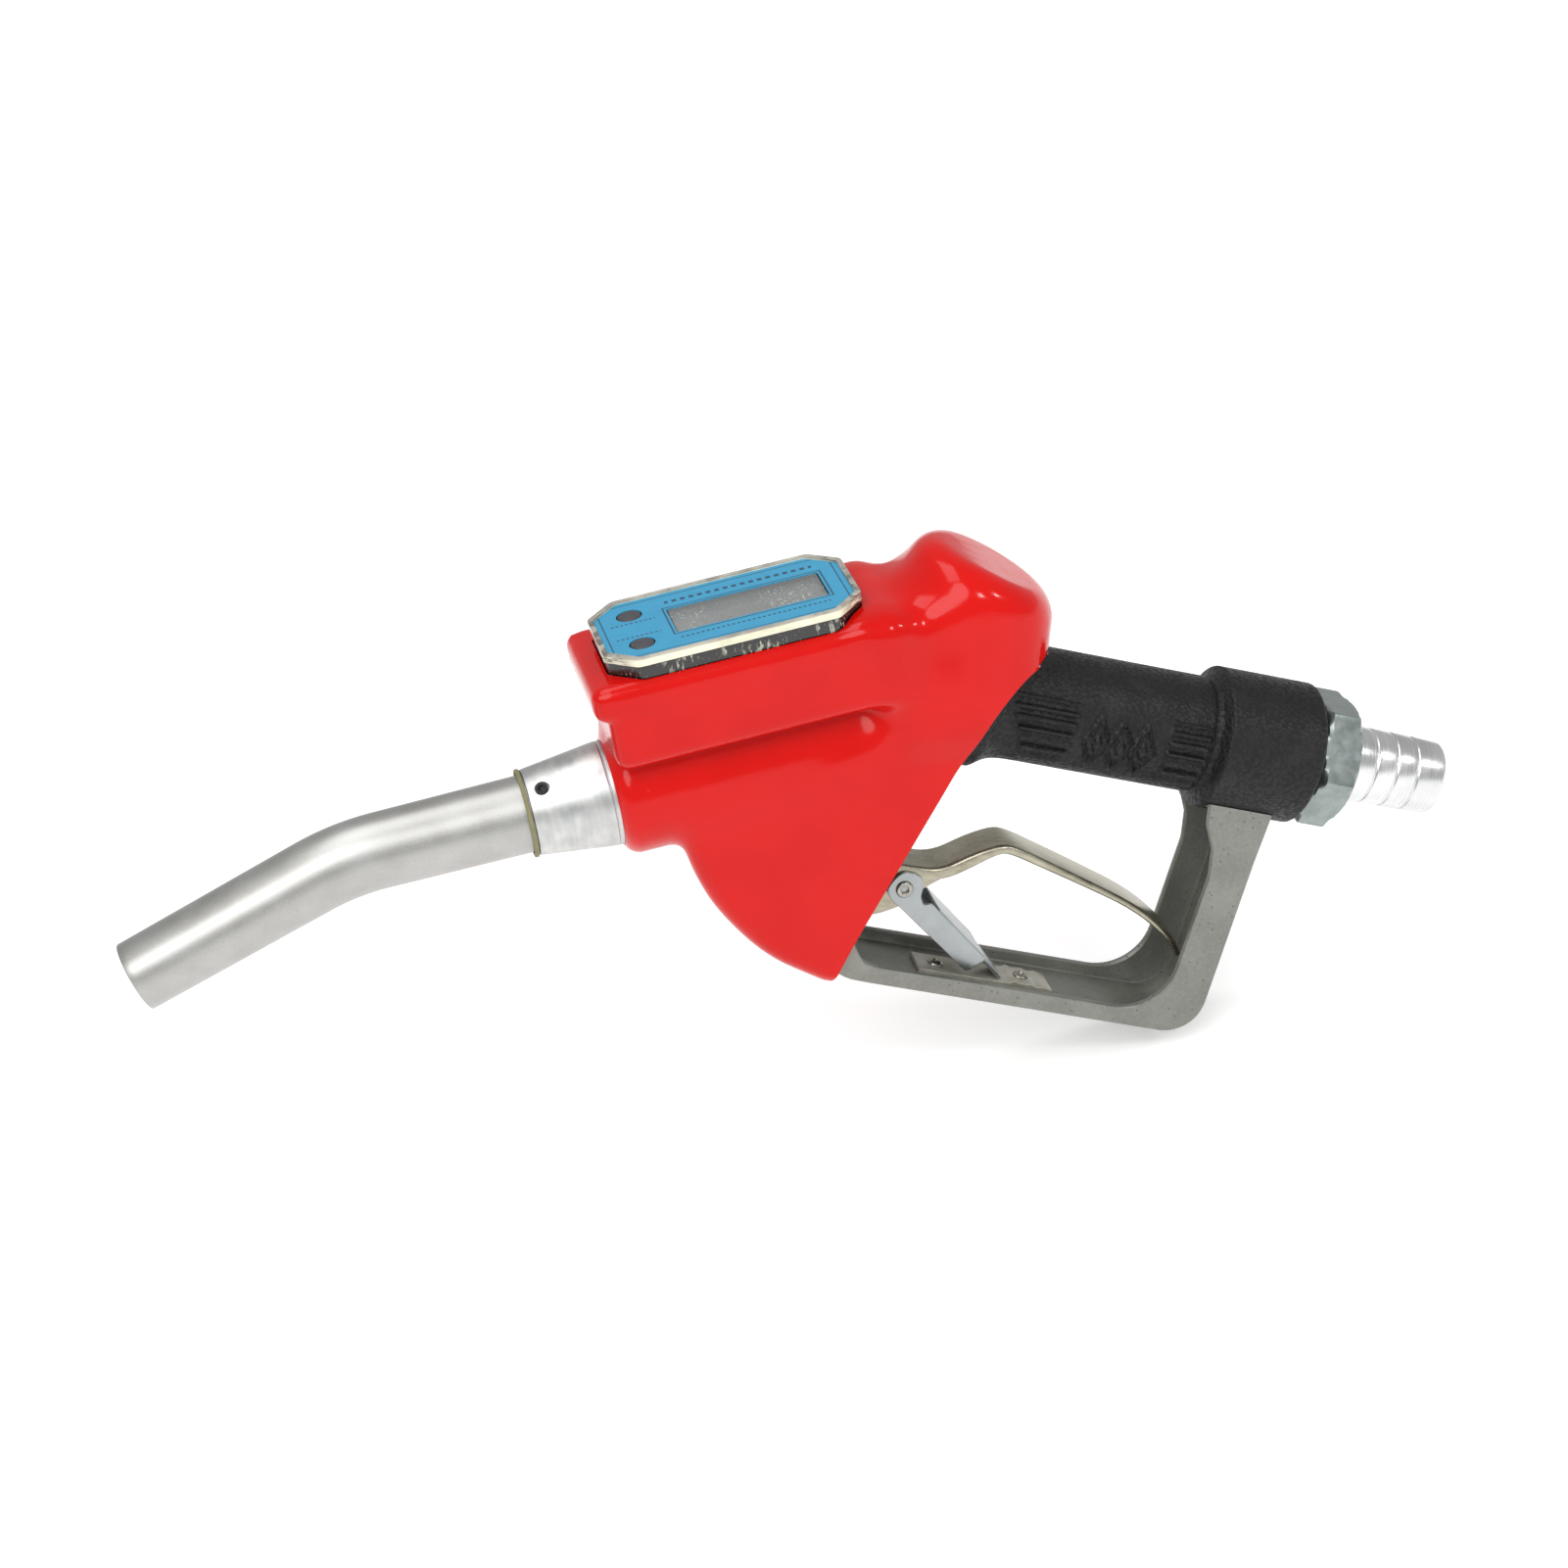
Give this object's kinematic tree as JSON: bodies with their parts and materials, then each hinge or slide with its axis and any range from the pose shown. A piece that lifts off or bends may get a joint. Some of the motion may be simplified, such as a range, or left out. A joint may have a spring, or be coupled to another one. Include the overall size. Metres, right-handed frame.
{
  "type": "fuel nozzle",
  "caption": "Automatic fuel nozzle with an in-line digital meter: bent spout, splash cover, trigger lever with hold-open latch, guard and swivel hose tail.",
  "frame": {"origin": "middle of the hand grip, on the handle axis", "axes": "+X from the spout towards the hose tail, along the meter's flow axis; +Z out of the meter face; +Y across"},
  "size_m": [0.452, 0.054, 0.1906],
  "materials": {
    "spout_metal": "anodised tube",
    "steel_tube": "drawn",
    "seal_ring": "moulded, khaki",
    "casting": "die casting",
    "set_screw": "black oxide",
    "seals": "moulded",
    "brass": "turned",
    "springs": "wound wire",
    "white_plastic": "moulded",
    "meter_plastic": "fine sparkle",
    "circuit_board": "solder mask",
    "cells": "pressed",
    "lcd": "reflective panel",
    "bezel": "clear cream edge",
    "face_label": "printed sheet",
    "window": "clear",
    "buttons": "moulded",
    "pin_steel": "ground",
    "grip": "moulded, satin",
    "zinc": "zinc plated",
    "hose_tail": "turned",
    "guard": "die casting",
    "lever": "pressed, nickel plated",
    "latch": "pressed, zinc plated",
    "screws": "plated",
    "cover": "dipped vinyl"
  },
  "bodies": {
    "root": {"spout_tube": "spout_metal", "vent_tube": "steel_tube", "spout_seal_ring": "seal_ring", "spout_set_screw": "set_screw", "spout_o_ring": "seals", "spout_collar": "casting", "check_spring": "springs", "meter_housing": "casting", "case_gasket": "seals", "straightener_outlet": "white_plastic", "straightener_inlet": "white_plastic", "turbine_shaft": "pin_steel", "meter_case": "meter_plastic", "circuit_board": "circuit_board", "coin_cell_1": "cells", "coin_cell_2": "cells", "lcd_panel": "lcd", "meter_bezel": "bezel", "face_label": "face_label", "lcd_window": "window", "valve_body": "casting", "main_spring": "springs", "poppet_cap": "brass", "cap_seal": "seals", "stem_packing": "seals", "packing_nut": "brass", "shutoff_plunger": "pin_steel", "diaphragm_spring": "springs", "diaphragm_cap": "casting", "lever_pivot_pin": "pin_steel", "grip_sleeve": "grip", "inlet_strainer": "brass", "hex_connector": "zinc", "swivel_seal": "seals", "lever_guard": "guard", "rack_plate": "zinc", "rack_screw_1": "screws", "rack_screw_2": "screws", "foot_screw_1": "screws", "foot_screw_2": "screws", "splash_cover": "cover"},
    "check_valve": {"check_poppet": "brass"},
    "rotor": {"turbine_rotor": "white_plastic"},
    "main_valve": {"main_poppet": "brass", "poppet_seal": "seals"},
    "mode_button": {"button_mode": "buttons"},
    "reset_button": {"button_reset": "buttons"},
    "diaphragm": {"shutoff_diaphragm": "seals"},
    "swivel_tail": {"hose_tail": "hose_tail"},
    "lever": {"trigger_lever": "lever", "latch_rivet": "pin_steel", "latch_spring": "springs"},
    "latch": {"hold_open_latch": "latch"}
  },
  "joints": [
    {"name": "lever_hinge", "type": "hinge", "parent": "root", "child": "lever", "pos_m": [-0.1285, 0, -0.03078], "axis": [0, -1, 0], "range_deg": [0, 11], "stiffness_Nm_per_rad": 1},
    {"name": "latch_hinge", "type": "hinge", "parent": "lever", "child": "latch", "pos_m": [-0.08655, 0, -0.03556], "axis": [0, -1, 0], "range_deg": [0, 30]},
    {"name": "main_valve_slide", "type": "slide", "parent": "root", "child": "main_valve", "axis": [0.4384, 0, 0.8988], "range_m": [0, 0.007], "deforming": ["main_spring"]},
    {"name": "check_valve_slide", "type": "slide", "parent": "root", "child": "check_valve", "axis": [-1, 0, 0], "range_m": [0, 0.005], "stiffness_N_per_m": 200, "deforming": ["check_spring"]},
    {"name": "rotor_spin", "type": "hinge", "parent": "root", "child": "rotor", "pos_m": [-0.12754, 0, 0.02192], "axis": [1, 0, 0], "continuous": true},
    {"name": "tail_swivel", "type": "hinge", "parent": "root", "child": "swivel_tail", "pos_m": [0, 0, 0], "axis": [0.8988, 0, -0.4384], "continuous": true},
    {"name": "mode_press", "type": "slide", "parent": "root", "child": "mode_button", "axis": [0, 0, -1], "range_m": [0, 0.0006], "stiffness_N_per_m": 1500},
    {"name": "reset_press", "type": "slide", "parent": "root", "child": "reset_button", "axis": [0, 0, -1], "range_m": [0, 0.0006], "stiffness_N_per_m": 1500},
    {"name": "diaphragm_slide", "type": "slide", "parent": "root", "child": "diaphragm", "axis": [0.4384, 0, 0.8988], "range_m": [0, 0.0025], "stiffness_N_per_m": 300, "deforming": ["diaphragm_spring"]}
  ],
  "couplings": [
    {"joint": "main_valve_slide", "follows": "lever_hinge", "m_per_rad": 0.0362}
  ]
}
